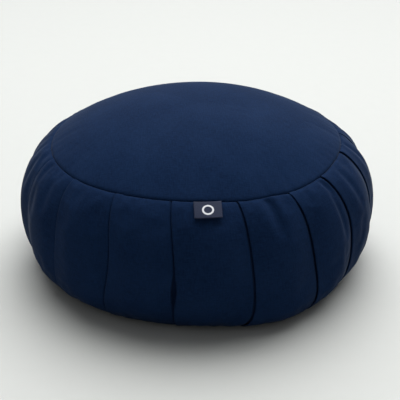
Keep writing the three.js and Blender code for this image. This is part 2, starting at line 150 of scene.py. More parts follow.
UPPER_SIDE = bezier([TOP_SEAM, TOP_SEAM + 19 * MM * DOWN, EQUATOR + mm(0, 37), EQUATOR], 60)
LINES = {
    "dome": [evenly(bezier([(0, CROWN_HEIGHT), (60 * MM, CROWN_HEIGHT), TOP_SEAM - 45 * MM * DOWN,
                            TOP_SEAM], 80))],
    "side": [
        evenly(np.concatenate([UPPER_SIDE, bezier([EQUATOR, EQUATOR - mm(0, 20), ZIP_SEAM + mm(0, 16),
                                                   ZIP_SEAM + (0, ZIP_LAND)], 40)[1:], [ZIP_SEAM]])),
        evenly(np.concatenate([UPPER_SIDE, bezier([EQUATOR, EQUATOR - mm(0, 33), TUCKED_SEAM + mm(14, 2.3),
                                                   TUCKED_SEAM], 60)[1:]])),
    ],
    "base": [
        evenly(np.concatenate([[ZIP_SEAM], bezier([ZIP_SEAM - (0, ZIP_LAND), ZIP_SEAM - mm(0, 11),
                                                   (ZIP_REST_RADIUS + 7 * MM, 0), (ZIP_REST_RADIUS, 0)], 24),
                               [(0, 0)]])),
        evenly(np.concatenate([bezier([TUCKED_SEAM, TUCKED_SEAM - mm(3, 0.6),
                                       (TUCKED_REST_RADIUS + 5 * MM, 0), (TUCKED_REST_RADIUS, 0)], 24),
                               [(0, 0)]])),
    ],
}
LENGTHS = {part: lines[-1][1] for part, lines in LINES.items()}


# How far the top seam wanders down from its circle (mm), by angle.
SEAM_WANDER = [
    (-100, -0.6), (-80, 0.9), (-66, 1.2), (-50, 1.3), (-36, 0.0), (-20, -1.5), (-5, -1.9), (8, -0.9),
    (16, 0.7), (28, 0.7), (34, 2.4), (42, 1.5), (52, 0.3), (64, -1.8), (76, -2.2), (95, -0.5),
    (120, 1.0), (150, -0.8), (180, 1.2), (210, -0.6), (240, 0.8),
]


def seam_wander(angle):
    angles, shifts = zip(*SEAM_WANDER)
    return np.interp((np.asarray(angle, float) + 100) % 360 - 100, angles, shifts, period=360) * MM


def tucked(angle):
    """How far the bottom seam is rolled under: 0 along the zip at the back, 1 at the front and sides."""
    return smoothstep(np.abs(turn_apart(angle, 180)), 50, 82)


def on_form(part, angle, share, lift):
    """Points of one part of the cover. angle is in degrees from the front, share runs down the meridian."""
    angle, share, lift = np.broadcast_arrays(*(np.asarray(a, float) for a in (angle, share, lift)))
    lines = [line for line, _ in LINES[part]]
    weights = [1 - tucked(angle), tucked(angle)] if len(lines) == 2 else [np.ones_like(angle)]
    place = np.clip(share, 0, 1) * (LINE_POINTS - 1)
    index = np.arange(LINE_POINTS)
    radius, height, out_r, out_z = (np.zeros_like(angle) for _ in range(4))
    for line, weight in zip(lines, weights):
        normal = outward(line)
        radius += weight * np.interp(place, index, line[:, 0])
        height += weight * np.interp(place, index, line[:, 1])
        out_r += weight * np.interp(place, index, normal[:, 0])
        out_z += weight * np.interp(place, index, normal[:, 1])
    size = np.hypot(out_r, out_z)
    nearness = {"dome": smoothstep(share, 0.6, 1), "side": 1 - smoothstep(share, 0, 0.3), "base": 0}[part]
    wander = seam_wander(angle) * nearness
    radius = radius + lift * out_r / size + wander * DOWN[0]
    height = height + lift * out_z / size + wander * DOWN[1]
    turn = np.radians(angle)
    return np.stack([radius * np.sin(turn), -radius * np.cos(turn), height], -1)


# ---- camera -------------------------------------------------------------------------------------------

CAMERA_DISTANCE = 1.0
CAMERA_ELEVATION = math.radians(25.72)
LENS = 89.7
SENSOR_WIDTH = 36
AIM_HEIGHT = 70 * MM
AIM_RIGHT = 2.84 * MM
AIM_DOWN = 14.75 * MM


def add_camera():
    back = Vector((0, -math.cos(CAMERA_ELEVATION), math.sin(CAMERA_ELEVATION)))
    up = Vector((0, math.sin(CAMERA_ELEVATION), math.cos(CAMERA_ELEVATION)))
    data = bpy.data.cameras.new("camera")
    data.lens = LENS
    data.sensor_width = SENSOR_WIDTH
    camera = bpy.data.objects.new("camera", data)
    camera.location = Vector((0, 0, AIM_HEIGHT)) + back * CAMERA_DISTANCE
    sight = Vector((AIM_RIGHT, 0, AIM_HEIGHT)) - AIM_DOWN * up
    camera.rotation_euler = (sight - camera.location).to_track_quat("-Z", "Y").to_euler()
    bpy.context.scene.collection.objects.link(camera)
    bpy.context.scene.camera = camera


# ---- materials ----------------------------------------------------------------------------------------

COLOURS = {"data_type": "RGBA"}
NUMBERS = {"data_type": "FLOAT"}
WAVE_PERIOD = 2 * math.pi / 20


def colour(hex_value):
    """An sRGB hex colour as linear red, green, blue and alpha."""
    channels = [int(hex_value[i:i + 2], 16) / 255 for i in (1, 3, 5)]
    return tuple(c / 12.92 if c <= 0.04045 else ((c + 0.055) / 1.055) ** 2.4 for c in channels) + (1,)


def new_material(name, base, **sockets):
    """A principled material. Each socket's value is set on the shader itself."""
    material = bpy.data.materials.new(name)
    material.use_nodes = True
    shader = material.node_tree.nodes["Principled BSDF"]
    shader.inputs["Base Color"].default_value = colour(base)
    for socket, value in sockets.items():
        shader.inputs[socket.replace("_", " ")].default_value = value
    return material, shader, material.node_tree


def node(tree, kind, settings=None, links=None):
    """Adds a node. settings are its own properties; links are its inputs: a socket to join, or a value."""
    made = tree.nodes.new(kind)
    for key, value in (settings or {}).items():
        setattr(made, key, value)
    for name, value in (links or {}).items():
        if isinstance(value, bpy.types.NodeSocket):
            tree.links.new(value, made.inputs[name])
        else:
            made.inputs[name].default_value = value
    return made


def paper_sweep():
    """Matt white paper: an even pale ground with a trace of tooth."""
    material, shader, tree = new_material("matt_white_paper_sweep", "#cacac6", Roughness=0.95)
    place = node(tree, "ShaderNodeTexCoord").outputs["Object"]
    tooth = node(tree, "ShaderNodeTexNoise", None, {"Vector": place, "Scale": 60, "Detail": 2})
    ground = node(tree, "ShaderNodeMix", COLOURS,
                  {0: tooth.outputs["Fac"], 6: colour("#c9c9c5"), 7: colour("#cbcbc7")})
    tree.links.new(ground.outputs[2], shader.inputs["Base Color"])
    return material


# The yarns of a heavy cotton are 0.5 mm apart. Their unevenness is drawn 1.3 mm wide so that it shows.
YARN_WIDTH = 1.3 * MM


def navy_cotton(name, dark, light, faded):
    """Close-woven cotton, piece-dyed and washed: dull, with uneven yarns both ways, soft lighter patches
    where the dye has worn, and a pale bloom of loose fibre where it turns away."""
    material, shader, tree = new_material(name, dark, Roughness=0.95, Specular_IOR_Level=0.05,
                                          Sheen_Weight=0.09, Sheen_Roughness=0.27,
                                          Sheen_Tint=colour("#d4deea"))
    cloth = node(tree, "ShaderNodeUVMap", {"uv_map": "cloth"}).outputs[0]
    yarns = []
    for long_way in ((1, 0.22, 1), (0.22, 1, 1)):
        lie = node(tree, "ShaderNodeMapping", None, {"Vector": cloth, "Scale": long_way}).outputs[0]
        yarn = node(tree, "ShaderNodeTexNoise", None,
                    {"Vector": lie, "Scale": 1 / YARN_WIDTH, "Detail": 2, "Roughness": 0.6})
        yarns.append(yarn.outputs["Fac"])
    weave = node(tree, "ShaderNodeMix", NUMBERS, {0: 0.5, 2: yarns[0], 3: yarns[1]}).outputs[0]
    crisp = node(tree, "ShaderNodeMapRange", None,
                 {"Value": weave, "From Min": 0.33, "From Max": 0.67}).outputs[0]
    wash = node(tree, "ShaderNodeTexNoise", None, {"Vector": cloth, "Scale": 24, "Detail": 5}).outputs["Fac"]
    dyed = node(tree, "ShaderNodeMix", COLOURS, {0: crisp, 6: colour(dark), 7: colour(light)}).outputs[2]
    patch = node(tree, "ShaderNodeMapRange", None,
                 {"Value": wash, "From Min": 0.42, "From Max": 0.72, "To Max": 0.30}).outputs[0]
    worn = node(tree, "ShaderNodeMix", COLOURS, {0: patch, 6: dyed, 7: colour(faded)})
    tree.links.new(worn.outputs[2], shader.inputs["Base Color"])
    bump = node(tree, "ShaderNodeBump", None, {"Height": crisp, "Strength": 0.35, "Distance": 0.25 * MM})
    tree.links.new(bump.outputs["Normal"], shader.inputs["Normal"])
    return material


def woven_cloth(name, dark, light, thread):
    """Plain-woven cotton: over and under threads in two directions give a small soft check."""
    material, shader, tree = new_material(name, dark, Roughness=0.9, Specular_IOR_Level=0.2)
    place = node(tree, "ShaderNodeUVMap", {"uv_map": "cloth"}).outputs[0]
    threads = {"Vector": place, "Scale": WAVE_PERIOD / (thread * 2), "Distortion": 0.6}
    warp, weft = (node(tree, "ShaderNodeTexWave", {"bands_direction": way}, threads).outputs["Fac"]
                  for way in "XY")
    slub = node(tree, "ShaderNodeTexNoise", None, {"Vector": place, "Scale": 300, "Detail": 3}).outputs["Fac"]
    cross = node(tree, "ShaderNodeMath", {"operation": "MULTIPLY"}, {0: warp, 1: weft}).outputs[0]
    mixed = node(tree, "ShaderNodeMix", NUMBERS, {0: 0.4, 2: cross, 3: slub}).outputs[0]
    base = node(tree, "ShaderNodeMix", COLOURS, {0: mixed, 6: colour(dark), 7: colour(light)})
    tree.links.new(base.outputs[2], shader.inputs["Base Color"])
    bump = node(tree, "ShaderNodeBump", None, {"Height": mixed, "Strength": 0.5, "Distance": 0.12 * MM})
    tree.links.new(bump.outputs["Normal"], shader.inputs["Normal"])
    return material


def spun_thread(name, dark, light):
    """Twisted polyester thread: a slight gleam, and fine slanting ply twists, with a painted highlight along
    the top of each ply.
    """
    material, shader, tree = new_material(name, dark, Roughness=0.6, Specular_IOR_Level=0.3,
                                          Sheen_Weight=0.04)
    place = node(tree, "ShaderNodeTexCoord").outputs["Object"]
    plies_and_painted_highlight = node(tree, "ShaderNodeTexWave", {"bands_direction": "DIAGONAL"},
                 {"Vector": place, "Scale": WAVE_PERIOD / (0.5 * MM), "Distortion": 1.0}).outputs["Fac"]
    # Painted highlight: the colour mixes from the dark to the light one along each ply's crest, the same mask
    # that raises the bump.
    base = node(tree, "ShaderNodeMix", COLOURS, {0: plies_and_painted_highlight, 6: colour(dark), 7: colour(light)})
    tree.links.new(base.outputs[2], shader.inputs["Base Color"])
    bump = node(tree, "ShaderNodeBump", None, {"Height": plies_and_painted_highlight, "Strength": 0.3, "Distance": 0.05 * MM})
    tree.links.new(bump.outputs["Normal"], shader.inputs["Normal"])
    return material


LABEL_WIDTH = 24 * MM
LABEL_LENGTH = 17 * MM
# The ring: how far down the front leaf its middle is, its radius, and half the width of its line, without
# and with its soft edge.
RING_DOWN = 8.8 * MM
RING_RADIUS = 4.3 * MM
RING_SOLID = 0.65 * MM
RING_EDGE = 0.95 * MM


def label_satin():
    """Satin-woven polyester label: slate, fine cross ribs, a plain pale ring woven in, and a soft gloss."""
    material, shader, tree = new_material("slate_woven_satin_label", "#262b40", Roughness=0.7,
                                          Specular_IOR_Level=0.12, Sheen_Weight=0.05,
                                          Sheen_Tint=colour("#aab0c8"))
    place = node(tree, "ShaderNodeUVMap", {"uv_map": "cloth"}).outputs[0]
    ribs = node(tree, "ShaderNodeTexWave", {"bands_direction": "Y"},
                {"Vector": place, "Scale": WAVE_PERIOD / (1.1 * MM), "Distortion": 0.8, "Detail": 2})
    fleck = node(tree, "ShaderNodeTexNoise", None, {"Vector": place, "Scale": 900, "Detail": 2})
    grain = node(tree, "ShaderNodeMix", NUMBERS, {0: 0.5, 2: ribs.outputs["Fac"], 3: fleck.outputs["Fac"]})
    ground = node(tree, "ShaderNodeMix", COLOURS,
                  {0: grain.outputs[0], 6: colour("#1e2438"), 7: colour("#30374d")}).outputs[2]
    centred = node(tree, "ShaderNodeVectorMath", {"operation": "SUBTRACT"}, {0: place, 1: (0, RING_DOWN, 0)})
    reach = node(tree, "ShaderNodeVectorMath", {"operation": "LENGTH"}, {0: centred.outputs[0]})
    off = node(tree, "ShaderNodeMath", {"operation": "SUBTRACT"}, {0: reach.outputs["Value"], 1: RING_RADIUS})
    off = node(tree, "ShaderNodeMath", {"operation": "ABSOLUTE"}, {0: off.outputs[0]})
    ring = node(tree, "ShaderNodeMapRange", None,
                {"Value": off.outputs[0], "From Min": RING_EDGE, "From Max": RING_SOLID}).outputs[0]
    marked = node(tree, "ShaderNodeMix", COLOURS, {0: ring, 6: ground, 7: colour("#e6e6ea")})
    tree.links.new(marked.outputs[2], shader.inputs["Base Color"])
    height = node(tree, "ShaderNodeMix", NUMBERS, {0: 0.35, 2: ribs.outputs["Fac"], 3: ring}).outputs[0]
    bump = node(tree, "ShaderNodeBump", None, {"Height": height, "Strength": 0.5, "Distance": 0.15 * MM})
    tree.links.new(bump.outputs["Normal"], shader.inputs["Normal"])
    return material


def nylon_coil():
    """Moulded nylon monofilament: dark, half glossy, with slight drawn streaks."""
    material, shader, tree = new_material("navy_nylon_monofilament", "#0e1730", Roughness=0.38, IOR=1.53)
    place = node(tree, "ShaderNodeTexCoord").outputs["Object"]
    streak = node(tree, "ShaderNodeTexNoise", None, {"Vector": place, "Scale": 1500, "Detail": 2})
    base = node(tree, "ShaderNodeMix", COLOURS,
                {0: streak.outputs["Fac"], 6: colour("#0b1226"), 7: colour("#141f3e")})
    tree.links.new(base.outputs[2], shader.inputs["Base Color"])
    return material


def enamelled_zinc():
    """Die-cast zinc with a thin dark enamel, rubbed at the edges so that grey metal shows through."""
    material, shader, tree = new_material("dark_enamelled_zinc", "#23262e", Metallic=0.85, Roughness=0.38)
    place = node(tree, "ShaderNodeTexCoord").outputs["Object"]
    scuff = node(tree, "ShaderNodeTexNoise", None,
                 {"Vector": place, "Scale": 700, "Detail": 4, "Roughness": 0.7}).outputs["Fac"]
    edge = node(tree, "ShaderNodeNewGeometry").outputs["Pointiness"]
    worn = node(tree, "ShaderNodeMapRange", None,
                {"Value": edge, "From Min": 0.52, "From Max": 0.60}).outputs[0]
    rubbed = node(tree, "ShaderNodeMath", {"operation": "MULTIPLY"}, {0: worn, 1: scuff}).outputs[0]
    base = node(tree, "ShaderNodeMix", COLOURS, {0: rubbed, 6: colour("#23262e"), 7: colour("#a5a8ad")})
    tree.links.new(base.outputs[2], shader.inputs["Base Color"])
    bump = node(tree, "ShaderNodeBump", None, {"Height": scuff, "Strength": 0.15, "Distance": 0.04 * MM})
    tree.links.new(bump.outputs["Normal"], shader.inputs["Normal"])
    return material


def dry_hulls():
    """Loose dry seed hulls: small brown husks about 5 mm across, paler towards their edges."""
    material, shader, tree = new_material("dry_seed_hulls", "#4a3426", Roughness=0.8)
    place = node(tree, "ShaderNodeTexCoord").outputs["Object"]
    husk = node(tree, "ShaderNodeTexVoronoi", None, {"Vector": place, "Scale": 210}).outputs["Distance"]
    base = node(tree, "ShaderNodeMix", COLOURS, {0: husk, 6: colour("#2e1d13"), 7: colour("#8a6a4a")})
    tree.links.new(base.outputs[2], shader.inputs["Base Color"])
    bump = node(tree, "ShaderNodeBump", None, {"Height": husk, "Strength": 0.9, "Distance": 1.6 * MM})
    tree.links.new(bump.outputs["Normal"], shader.inputs["Normal"])
    return material


# ---- studio -------------------------------------------------------------------------------------------

TENT_TOP = (0.1, 0.6, 0.794)
TENT_WHITE = (0.96, 0.985, 1, 1)
FLOOR_SIZE = 16
FLOOR_DROP = 0.4 * MM


def add_area_light(name, place, aim, size, power):
    data = bpy.data.lights.new(name, "AREA")
    data.shape = "DISK"
    data.size = size
    data.energy = power
    light = bpy.data.objects.new(name, data)
    light.location = place
    light.rotation_euler = (Vector(aim) - Vector(place)).to_track_quat("-Z", "Y").to_euler()
    bpy.context.scene.collection.objects.link(light)


def add_studio():
    """A tall white tent, brightest overhead and behind, with one large soft lamp over the back."""
    bpy.context.scene.view_settings.view_transform = "Standard"
    world = bpy.data.worlds.new("studio_tent")
    world.use_nodes = True
    tree = world.node_tree
    way = node(tree, "ShaderNodeTexCoord").outputs["Generated"]
    facing = node(tree, "ShaderNodeVectorMath", {"operation": "DOT_PRODUCT"}, {0: way, 1: TENT_TOP})
    glow = node(tree, "ShaderNodeMapRange", {"interpolation_type": "SMOOTHSTEP"},
                {"Value": facing.outputs["Value"], "From Min": 0.66, "From Max": 0.95,
                 "To Min": 0.19, "To Max": 4.1})
    tree.links.new(glow.outputs[0], tree.nodes["Background"].inputs["Strength"])
    tree.nodes["Background"].inputs["Color"].default_value = TENT_WHITE
    bpy.context.scene.world = world
    add_area_light("back softbox", (0.14, 0.6, 1.35), (0, 0, 0.08), 1.0, 6)
    bpy.ops.object.select_all(action="DESELECT")
    bpy.ops.mesh.primitive_plane_add(size=FLOOR_SIZE, location=(0, 0, -FLOOR_DROP))
    floor = bpy.context.object
    floor.name = "studio_floor"
    floor.data.materials.append(paper_sweep())


# ---- making and finishing pieces --------------------------------------------------------------------

def mesh_piece(name, points, faces, material):
    mesh = bpy.data.meshes.new(name)
    mesh.from_pydata([tuple(p) for p in points], [], faces)
    piece = bpy.data.objects.new(name, mesh)
    bpy.context.scene.collection.objects.link(piece)
    mesh.materials.append(material)
    mesh.shade_smooth()
    return piece


def choose(piece):
    bpy.ops.object.select_all(action="DESELECT")
    bpy.context.view_layer.objects.active = piece
    piece.select_set(True)


def apply_modifier(piece, kind, **settings):
    modifier = piece.modifiers.new(kind.lower(), kind)
    for key, value in settings.items():
        setattr(modifier, key, value)
    choose(piece)
    bpy.ops.object.modifier_apply(modifier=modifier.name)


def smooth_cloth(piece):
    apply_modifier(piece, "SUBSURF", levels=1, render_levels=1)


def thicken(piece, thickness=CLOTH):
    apply_modifier(piece, "SOLIDIFY", thickness=thickness, offset=-1, use_rim=True)
    piece.data.shade_smooth()


def weld(piece, flat_within=None):
    """Joins points that lie together and, where an angle is given, the faces that lie flat within it."""
    choose(piece)
    bpy.ops.object.mode_set(mode="EDIT")
    bpy.ops.mesh.select_all(action="SELECT")
    bpy.ops.mesh.remove_doubles(threshold=1e-6)
    if flat_within is not None:
        bpy.ops.mesh.dissolve_limited(angle_limit=flat_within)
    bpy.ops.object.mode_set(mode="OBJECT")


def finish_piece(piece, body, replaced):
    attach(piece, body)
    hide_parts(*replaced)
    return piece


def grid_sheet(name, grid, flat, material, ring, crown=None, sense=1):
    """A sheet from a grid of points (rows, columns). flat holds the cloth's own flat coordinates, one more
    column than the grid on a ring. crown is the point that closes the first row. sense -1 turns its faces."""
    rows, columns = grid.shape[:2]
    points = grid.reshape(-1, 3)
    faces = []
    maps = []
    last = columns if ring else columns - 1
    for i in range(rows - 1):
        for j in range(last):
            k = (j + 1) % columns
            faces.append((i * columns + j, (i + 1) * columns + j, (i + 1) * columns + k, i * columns + k))
            maps.append((flat[i, j], flat[i + 1, j], flat[i + 1, j + 1], flat[i, j + 1]))
    if crown is not None:
        top = len(points)
        points = np.concatenate([points, [crown[0]]])
        for j in range(last):
            faces.append((top, j, (j + 1) % columns))
            maps.append((crown[1], flat[0, j], flat[0, j + 1]))
    if sense < 0:
        faces = [face[::-1] for face in faces]
        maps = [corners[::-1] for corners in maps]
    piece = mesh_piece(name, points, faces, material)
    layer = piece.data.uv_layers.new(name="cloth")
    layer.data.foreach_set("uv", np.array([uv for corners in maps for uv in corners], np.float32).ravel())
    return piece


# ---- pleats, laid one by one --------------------------------------------------------------------------
# Each pleat: the angle of its fold at the top seam; how many degrees the fold has moved at each later one of
# the stations; how far its panel puffs out (mm); the width of the dark gap in front of the fold (mm); how
# much wider it gapes below the middle (mm); how crisp it starts.

PLEATS = [
    (-9.0, (1.5, 2.5, 2.0, 2.2), 1.7, 0.6, 4.6, 1.0),
    (14.0, (1.5, 2.3, 3.0, -1.5), 1.9, 1.0, 0.0, 1.0),
    (33.7, (2.3, 3.8, 5.6, 2.5), 2.1, 1.1, 0.0, 0.4),
    (51.8, (3.2, 5.0, 6.0, 4.5), 1.9, 1.1, 0.0, 0.9),
    (75.5, (2.0, 3.6, 4.0, 3.0), 1.9, 1.2, 0.0, 0.9),
    (95.0, (1.2, 2.0, 1.6, 1.0), 2.1, 0.9, 0.0, 0.7),
    (117.0, (-0.8, -1.5, -0.6, 0.5), 2.3, 1.0, 0.6, 0.8),
    (138.5, (0.6, 1.5, 2.2, 2.5), 2.1, 0.9, 0.0, 0.5),
    (159.0, (1.4, 2.5, 2.0, 1.0), 2.3, 0.9, 1.4, 0.9),
    (181.0, (-0.5, -1.0, -1.6, -2.0), 2.1, 1.0, 0.0, 0.6),
    (202.5, (0.8, 1.8, 1.4, 0.5), 2.1, 1.0, 0.8, 1.0),
    (223.0, (1.6, 2.6, 2.4, 2.0), 2.3, 0.9, 0.0, 0.7),
    (244.0, (0.1, 0.5, -0.2, -1.0), 2.1, 1.0, 0.0, 0.5),
    (266.5, (0.4, 1.0, 1.4, 1.5), 2.1, 0.8, 0.0, 0.8),
    (288.5, (0.7, 1.2, 0.2, -2.0), 1.7, 0.7, 0.0, 0.6),
    (309.5, (0.6, 1.7, 0.5, -1.5), 1.9, 0.8, 0.0, 0.6),
    (330.0, (2.0, 3.0, 1.0, 1.2), 1.9, 0.8, 0.0, 0.35),
]
STATIONS = (0, 0.225, 0.45, 0.68, 1)

# The band's two strips meet under two pleats, counted round from the left edge of the front strip.
LEFT_EDGE = -93.6
LEFT_JOIN = 0
RIGHT_JOIN = 9


def past_left(angle):
    """The same angle, counted on from the front strip's left edge."""
    return (angle - LEFT_EDGE) % 360 + LEFT_EDGE


ROUND_PLEATS = sorted(PLEATS, key=lambda pleat: past_left(pleat[0]))

# Soft creases between the pleats: angle, depth (mm), width (degrees), how far down they reach.
SOFT_CREASES = [
    (24.5, 4.8, 1.2, 0.35), (49.6, 2.6, 0.8, 0.75), (62.0, 1.8, 0.9, 0.6), (-52.8, 1.1, 0.7, 0.6),
    (-60.0, 2.3, 0.8, 0.40), (-57.0, 1.5, 0.7, 0.30), (-63.5, 1.5, 0.8, 0.3), (-67.0, 2.1, 0.9, 0.45),
    (-76.0, 1.9, 1.0, 0.45), (-81.0, 1.0, 0.9, 0.35), (30.5, 1.6, 0.8, 0.14), (84.0, 1.6, 1.0, 0.4),
    (105.0, 1.6, 1.1, 0.4), (128.0, 1.2, 0.9, 0.3), (150.0, 1.6, 1.1, 0.5), (171.0, 1.1, 0.9, 0.35),
    (192.0, 1.4, 1.0, 0.3), (213.0, 1.5, 1.0, 0.45), (233.0, 1.1, 0.9, 0.3), (255.0, 1.4, 1.1, 0.4),
    (273.0, 1.1, 1.0, 0.3),
]

PANEL_COLUMNS = 11
BAND_SHARES = np.concatenate([[0, 0.006, 0.016], np.linspace(0.034, 0.95, 42), [0.968, 0.982, 0.992, 1.0]])


def stuffing(angle, share):
    """Slow unevenness of the stuffing, fuller low on the right and slacker low in front."""
    turn = np.radians(angle)
    waves = (0.8 * np.sin(3 * turn + 0.6 + 2 * share) + 0.6 * np.sin(5 * turn + 2.1 - 3 * share)
             + 0.4 * np.sin(11 * turn + 1.3 + 5 * share))
    full = 6.0 * bell_at(angle, 29, 18) - 3.0 * bell_at(angle, -12, 20)
    foot = bell(share, 0.84, 0.17) * (1 - smoothstep(share, 0.93, 1))
    return MM * (waves * np.sin(math.pi * np.clip(share, 0, 1)) + full * foot)


def creases(angle, share):
    depth = np.zeros(np.broadcast(angle, share).shape)
    for centre, deep, width, reach in SOFT_CREASES:
        bowed = centre + 2.2 * np.sin(math.pi * np.clip(share, 0, 1))
        depth += deep * MM * bell_at(angle, bowed, width) * (1 - smoothstep(share, reach * 0.45, reach))
    return depth * smoothstep(share, 0, 0.035)


def gathers(angle, share, size=0.4):
    """Small puckers that a seam draws in. share is the distance from the seam as a share of the cloth."""
    turn = np.radians(angle)
    wave = 0.5 * np.sin(71 * turn + 2 * np.sin(7 * turn)) + 0.5 * np.sin(103 * turn + 1.7 + np.sin(5 * turn))
    return size * MM * wave * np.exp(-share / 0.07)


def fold_angle(pleat, share):
    return pleat[0] + np.polyval(np.polyfit(STATIONS, (0,) + pleat[1], 4), share)


def pleat_section(pleat, share):
    """Section through a pleat, as (mm to the right of its fold, mm above the side): the left panel's end
    dips, runs in under the fold, turns back beneath it and rounds over it into the right panel."""
    gap, gape, crisp = pleat[3:6]
    rise = crisp + (1 - crisp) * smoothstep(share, 0, 0.16)
    edge = rise * (0.8 + 0.35 * math.sin(math.pi * share)) * smoothstep(share, -0.02, 0.02)
    wide = gap * rise + gape * math.exp(-((share - 0.59) / 0.105) ** 2)
    deep = edge * (1.0 + 0.5 * wide)
    lap = 7 - 3 * math.sin(math.pi * share)
    return [
        (-3.4 - 0.4 * wide, -0.15 * edge), (-1.4 - 0.5 * wide, -0.45 * edge),
        (-0.55 - 0.5 * wide, -0.9 * edge), (-0.15 - 0.4 * wide, -1.3 * deep),
        (0.45, -1.75 * deep), (lap + wide, -1.45 * deep - 0.5),
        (lap + wide + 0.8, -1.2 * deep - 0.2), (lap + wide, -1.0 * deep + 0.1),
        (1.5 + 0.4 * wide, -0.85 * edge), (0.4 + 0.4 * wide, -0.6 * edge), (-0.05 + 0.4 * wide, -0.15 * edge),
        (0.2 + 0.4 * wide, 0.35 * edge), (1.1 + 0.4 * wide, 0.6 * edge), (3.2 + 0.4 * wide, 0.6 * edge),
    ]


# The point of a pleat's section, under its lap, where one strip ends and the next begins.
SPLIT = 6


def pleated_rows(first, last):
    """Rows of (angle, lift, panel) from under one pleat's lap to under another's, for the strip between."""
    pleats = ROUND_PLEATS + [ROUND_PLEATS[0]]
    rows = []
    for share in BAND_SHARES:
        radius = np.interp(share * (LINE_POINTS - 1), np.arange(LINE_POINTS), LINES["side"][1][0][:, 0])
        degree = math.degrees(MM / radius)
        row = []
        for i in range(first, last):
            start = past_left(fold_angle(pleats[i], share))
            end = past_left(fold_angle(pleats[i + 1], share))
            if end < start:
                end += 360
            section = pleat_section(pleats[i], share)
            follower = pleat_section(pleats[i + 1], share)
            shown = section[SPLIT:] if i == first else section
            row.extend((start + across * degree, lift, 0) for across, lift in shown)
            left = start + section[-1][0] * degree
            right = end + follower[0][0] * degree
            for k in range(1, PANEL_COLUMNS):
                u = k / PANEL_COLUMNS
                tilt = section[-1][1] * (1 - u) + follower[0][1] * u
                arch = (1 - (2 * u - 1) ** 2) ** 0.85
                row.append((left + (right - left) * u, tilt + pleats[i][2] * arch, 1))
            if i == last - 1:
                row.extend((end + across * degree, lift, 0) for across, lift in follower[:SPLIT + 1])
        rows.append(row)
    return np.array(rows)


def zip_set_back(angle):
    """How far the cloth's edge stands back from the bottom seam to leave the zip's coils open to view."""
    from_back = np.abs(turn_apart(angle, 180))
    return ZIP_OPENING * (1 - smoothstep(from_back, ZIP_HALF_ANGLE + 0.6, ZIP_HALF_ANGLE + 2.6))


def side_lift(angle, share, base_lift, panel):
    pinch = 1.7 * (np.exp(-share / 0.012) + np.exp(-(1 - share) / 0.014) * tucked(angle))
    puffing = np.sin(math.pi * np.clip(share * 1.06, 0, 1)) ** 0.75
    lift = base_lift * MM * np.where(panel > 0, puffing, 1) - pinch * MM + stuffing(angle, share)
    lift = lift - creases(angle, share) * panel + gathers(angle, share)
    lift = lift + gathers(angle, 1 - share) * tucked(angle)
    return lift * (1 - (1 - tucked(angle)) * smoothstep(share, 0.9, 0.97))


def strip_grid(first, last):
    rows = pleated_rows(first, last)
    share = BAND_SHARES[:, None] * np.ones(rows.shape[1])
    angle = rows[..., 0]
    fade = 1 - smoothstep(share, 0.93, 1.0) * (1 - tucked(angle))
    lift = side_lift(angle, share, rows[..., 1] * fade, rows[..., 2])
    place = share * (1 - zip_set_back(angle) / LENGTHS["side"])
    return on_form("side", angle, place, lift)


def flat_of_strip(grid):
    """Flat coordinates of a strip: along it by the cloth's own length, lap by lap, and down it by share."""
    steps = np.linalg.norm(np.diff(grid, axis=1), axis=2).mean(0)
    along = np.concatenate([[0], np.cumsum(steps)])
    down = BAND_SHARES * LENGTHS["side"]
    return np.stack(np.broadcast_arrays(along[None, :], -down[:, None]), -1)


SIMULATED_FRAMES = 20
STRIP_SWELL = 2.6 * MM
TOP_SWELL = 1.5 * MM


def stuff(piece, free, swell):
    """Blows a sheet of cloth up a little with the cloth simulator. Points with free 0 stay sewn where they
    are, and the whole swelling is scaled so that no point moves further than swell."""
    rest = np.array([v.co for v in piece.data.vertices])
    pins = piece.vertex_groups.new(name="sewn")
    for i, weight in enumerate(1 - free):
        pins.add([i], float(weight), "REPLACE")
    cloth = piece.modifiers.new("cloth", "CLOTH")
    cloth.settings.vertex_group_mass = "sewn"
    cloth.settings.quality = 5
    cloth.settings.mass = 0.3
    cloth.settings.tension_stiffness = 12
    cloth.settings.compression_stiffness = 12
    cloth.settings.shear_stiffness = 5
    cloth.settings.bending_stiffness = 0.6
    cloth.settings.use_pressure = True
    cloth.settings.uniform_pressure_force = 4
    cloth.settings.shrink_min = -0.02
    cloth.settings.effector_weights.gravity = 0
    cloth.collision_settings.use_collision = False
    cloth.point_cache.frame_end = SIMULATED_FRAMES
    scene = bpy.context.scene
    for frame_number in range(1, SIMULATED_FRAMES + 1):
        scene.frame_set(frame_number)
    blown = piece.evaluated_get(bpy.context.evaluated_depsgraph_get())
    moved = np.array([v.co for v in blown.data.vertices]) - rest
    piece.modifiers.remove(cloth)
    scene.frame_set(1)
    moved *= min(1, swell / np.linalg.norm(moved, axis=1).max())
    piece.data.vertices.foreach_set("co", (rest + moved).astype(np.float32).ravel())
    piece.vertex_groups.clear()
    piece.data.update()


def rest_on_floor(piece):
    """Nothing of the cloth goes below the floor."""
    heights = np.array([v.co for v in piece.data.vertices])
    heights[:, 2] = np.maximum(heights[:, 2], 0.0)
    piece.data.vertices.foreach_set("co", heights.astype(np.float32).ravel())
    piece.data.update()


def build_strip(name, first, last, replaced, cloth):
    grid = strip_grid(first, last)
    piece = grid_sheet(name, grid, flat_of_strip(grid), cloth, ring=False)
    rows = pleated_rows(first, last)
    share = BAND_SHARES[:, None] * np.ones(rows.shape[1])
    sewn = np.minimum(smoothstep(share, 0.0, 0.06), 1 - smoothstep(share, 0.93, 0.98))
    beside = rows[..., 2].copy()
    for _ in range(2):
        beside[:, 1:-1] = (beside[:, :-2] + 2 * beside[:, 1:-1] + beside[:, 2:]) / 4 * rows[:, 1:-1, 2]
    stuff(piece, (sewn * beside).ravel(), STRIP_SWELL)
    smooth_cloth(piece)
    rest_on_floor(piece)
    thicken(piece)
    return finish_piece(piece, "cushion", replaced)


# ---- top and bottom panels ----------------------------------------------------------------------------

